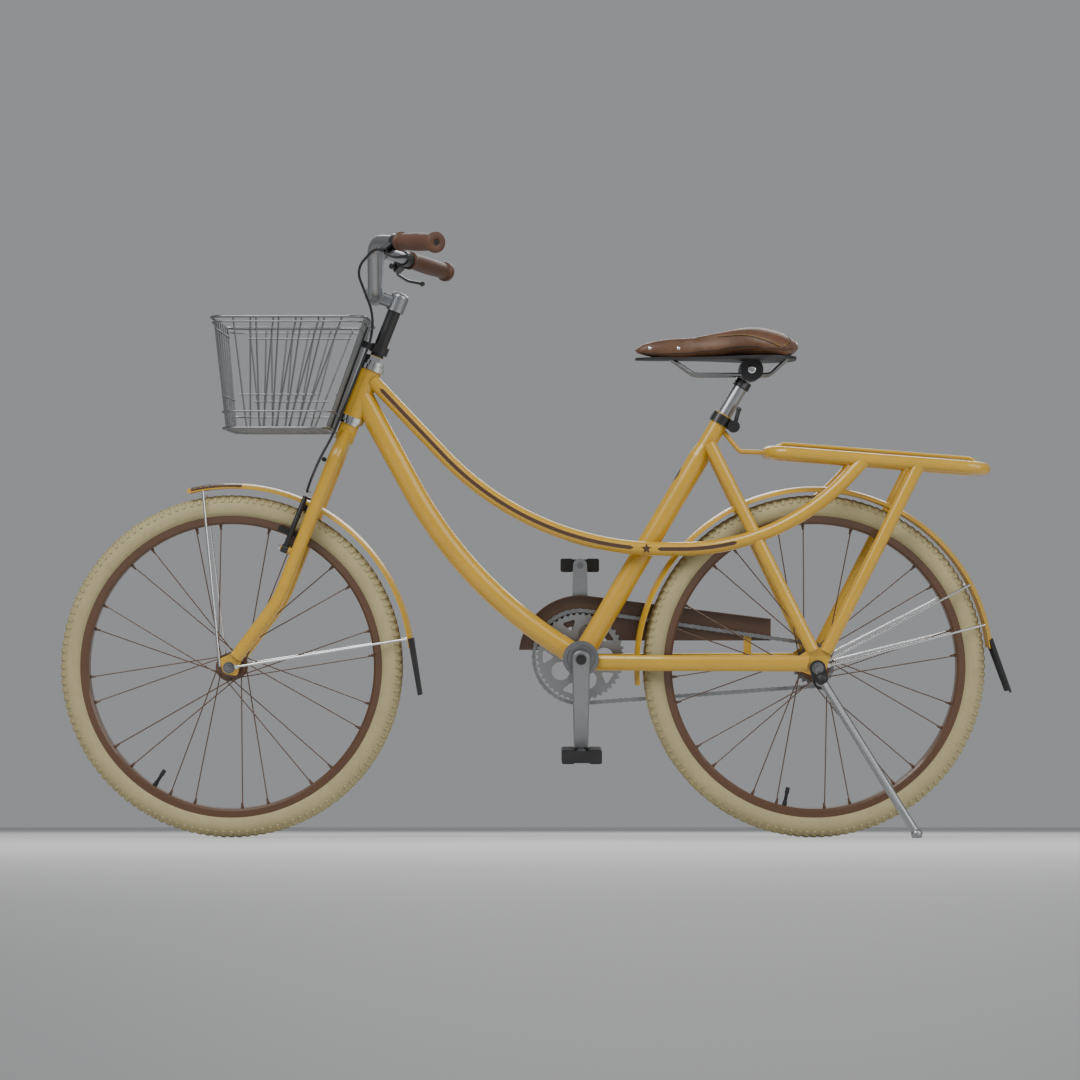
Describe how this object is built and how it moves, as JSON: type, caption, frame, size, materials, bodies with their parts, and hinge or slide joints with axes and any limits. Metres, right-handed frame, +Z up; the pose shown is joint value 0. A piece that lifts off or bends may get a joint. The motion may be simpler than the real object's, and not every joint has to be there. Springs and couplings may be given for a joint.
{
  "type": "bicycle",
  "caption": "Single-rider town bicycle with a curved twin-tube frame, front wire basket, rear carrier and kickstand",
  "frame": {"origin": "on the floor under the middle of the bicycle, which stands leaned onto its kickstand", "axes": "+X towards the rear wheel, +Y towards the rider's right (the chain side), +Z up"},
  "size_m": [1.8048, 0.5637, 1.1437],
  "materials": {
    "yellow_paint": "gloss",
    "chrome_parts": "polished",
    "bearing_steel": "polished",
    "grey_steel": "satin",
    "grey_alloy": "satin",
    "black_metal": "satin",
    "brown_paint": "satin",
    "cream_tyre": "matt",
    "brown_leather": "satin",
    "black_plastic": "satin",
    "black_rubber": "matt"
  },
  "bodies": {
    "frame": {"head_tube": "yellow_paint", "down_tube": "yellow_paint", "top_tubes": "yellow_paint", "seat_tube": "yellow_paint", "chain_stays": "yellow_paint", "seat_stays": "yellow_paint", "rear_rack": "yellow_paint", "headset_cups": "chrome_parts", "bearing_balls": "bearing_steel", "bottom_bracket_cups": "grey_steel", "seat_clamp": "black_metal", "rear_fender": "yellow_paint", "rear_mud_flap": "black_rubber", "rear_fender_stays": "chrome_parts", "chain_guard": "brown_paint", "chain": "grey_steel", "kickstand_bracket": "black_metal", "rear_axle": "grey_steel"},
    "steering": {"fork": "yellow_paint", "headset_races": "chrome_parts", "front_axle": "grey_steel", "stem": "grey_alloy", "stem_quill": "black_metal", "handlebar": "grey_alloy", "grips": "brown_leather", "brake_lever_clamps": "black_metal", "basket_rims": "grey_steel", "basket_wall_wires": "grey_steel", "basket_floor_wires": "grey_steel", "basket_bracket": "black_metal", "front_fender": "yellow_paint", "front_mud_flap": "black_rubber", "front_fender_stays": "chrome_parts", "front_brake_cable": "black_plastic"},
    "front_wheel": {"front_tyre": "cream_tyre", "front_rim": "brown_paint", "front_spokes": "brown_paint", "front_hub": "brown_paint"},
    "rear_wheel": {"rear_tyre": "cream_tyre", "rear_rim": "brown_paint", "rear_spokes": "brown_paint", "rear_hub": "brown_paint"},
    "sprocket": {"rear_sprocket": "grey_steel"},
    "crank": {"chainring": "grey_alloy", "crank_arms": "grey_alloy", "crank_spindle": "grey_steel", "pedal_axles": "grey_steel"},
    "left_pedal": {"left_pedal": "black_plastic"},
    "right_pedal": {"right_pedal": "black_plastic"},
    "kickstand": {"kickstand": "grey_alloy"},
    "seatpost": {"seatpost": "grey_alloy"},
    "saddle": {"saddle_cover": "brown_leather", "saddle_base": "black_plastic", "saddle_rails": "grey_steel", "saddle_clamp": "black_metal"},
    "seat_clamp_lever": {"seat_clamp_lever": "black_metal"},
    "left_brake_lever": {"left_brake_lever": "black_metal"},
    "right_brake_lever": {"right_brake_lever": "black_metal"},
    "left_brake_arm": {"left_brake_arm": "black_metal"},
    "right_brake_arm": {"right_brake_arm": "black_metal"}
  },
  "joints": [
    {"name": "steering", "type": "hinge", "parent": "frame", "child": "steering", "pos_m": [-0.33239, 0.02775, 0.83111], "axis": [0.3665, -0.0973, 0.9253], "range_deg": [-60, 60]},
    {"name": "front_wheel_spin", "type": "hinge", "parent": "steering", "child": "front_wheel", "pos_m": [-0.5765, 0.08111, 0.32335], "axis": [0, 0.9945, 0.1045], "continuous": true},
    {"name": "rear_wheel_spin", "type": "hinge", "parent": "frame", "child": "rear_wheel", "pos_m": [0.5285, 0.08111, 0.32335], "axis": [0, 0.9945, 0.1045], "continuous": true},
    {"name": "crank_spin", "type": "hinge", "parent": "frame", "child": "crank", "pos_m": [0.0855, 0.07944, 0.33926], "axis": [0, 0.9945, 0.1045], "continuous": true, "deforming": ["chain"]},
    {"name": "sprocket_spin", "type": "hinge", "parent": "frame", "child": "sprocket", "pos_m": [0.5285, 0.08111, 0.32335], "axis": [0, 0.9945, 0.1045], "continuous": true, "deforming": ["chain"]},
    {"name": "left_pedal_spin", "type": "hinge", "parent": "crank", "child": "left_pedal", "pos_m": [0.0855, 0.02712, 0.1578], "axis": [0, 0.9945, 0.1045], "continuous": true},
    {"name": "right_pedal_spin", "type": "hinge", "parent": "crank", "child": "right_pedal", "pos_m": [0.0855, 0.13176, 0.52072], "axis": [0, 0.9945, 0.1045], "continuous": true},
    {"name": "kickstand_swing", "type": "hinge", "parent": "frame", "child": "kickstand", "pos_m": [0.5345, -0.0041, 0.29227], "axis": [-0.1441, -0.9581, 0.2475], "range_deg": [0, 67.3]},
    {"name": "seatpost_slide", "type": "slide", "parent": "frame", "child": "seatpost", "axis": [0.509, -0.09, 0.856], "range_m": [-0.05, 0.08]},
    {"name": "saddle_tilt", "type": "hinge", "parent": "seatpost", "child": "saddle", "pos_m": [0.40874, 0.02231, 0.88284], "axis": [0, 0.9945, 0.1045], "range_deg": [-10, 10]},
    {"name": "seat_clamp_swing", "type": "hinge", "parent": "frame", "child": "seat_clamp_lever", "pos_m": [0.37513, 0.0137, 0.77342], "axis": [0, 0.9945, 0.1045], "range_deg": [0, 90]},
    {"name": "left_brake_lever_squeeze", "type": "hinge", "parent": "steering", "child": "left_brake_lever", "pos_m": [-0.27089, -0.16738, 1.07602], "axis": [-0.4649, -0.4912, 0.7366], "range_deg": [0, 12], "stiffness_Nm_per_rad": 0.6, "springref_deg": -17.19},
    {"name": "right_brake_lever_squeeze", "type": "hinge", "parent": "steering", "child": "right_brake_lever", "pos_m": [-0.27089, 0.16768, 1.11124], "axis": [0.4649, -0.3274, -0.8226], "range_deg": [0, 12], "stiffness_Nm_per_rad": 0.6, "springref_deg": -17.19},
    {"name": "left_brake_arm_close", "type": "hinge", "parent": "steering", "child": "left_brake_arm", "pos_m": [-0.47285, 0.01498, 0.5412], "axis": [-0.9304, -0.0383, 0.3645], "range_deg": [0, 3.2], "stiffness_Nm_per_rad": 0.5, "springref_deg": -5.73},
    {"name": "right_brake_arm_close", "type": "hinge", "parent": "steering", "child": "right_brake_arm", "pos_m": [-0.47285, 0.10051, 0.55019], "axis": [0.9304, 0.0383, -0.3645], "range_deg": [0, 3.2], "stiffness_Nm_per_rad": 0.5, "springref_deg": -5.73}
  ],
  "couplings": [
    {"joint": "sprocket_spin", "follows": "crank_spin", "ratio": 2.2},
    {"joint": "left_brake_arm_close", "follows": "left_brake_lever_squeeze", "ratio": 0.26},
    {"joint": "right_brake_arm_close", "follows": "left_brake_lever_squeeze", "ratio": 0.26}
  ]
}
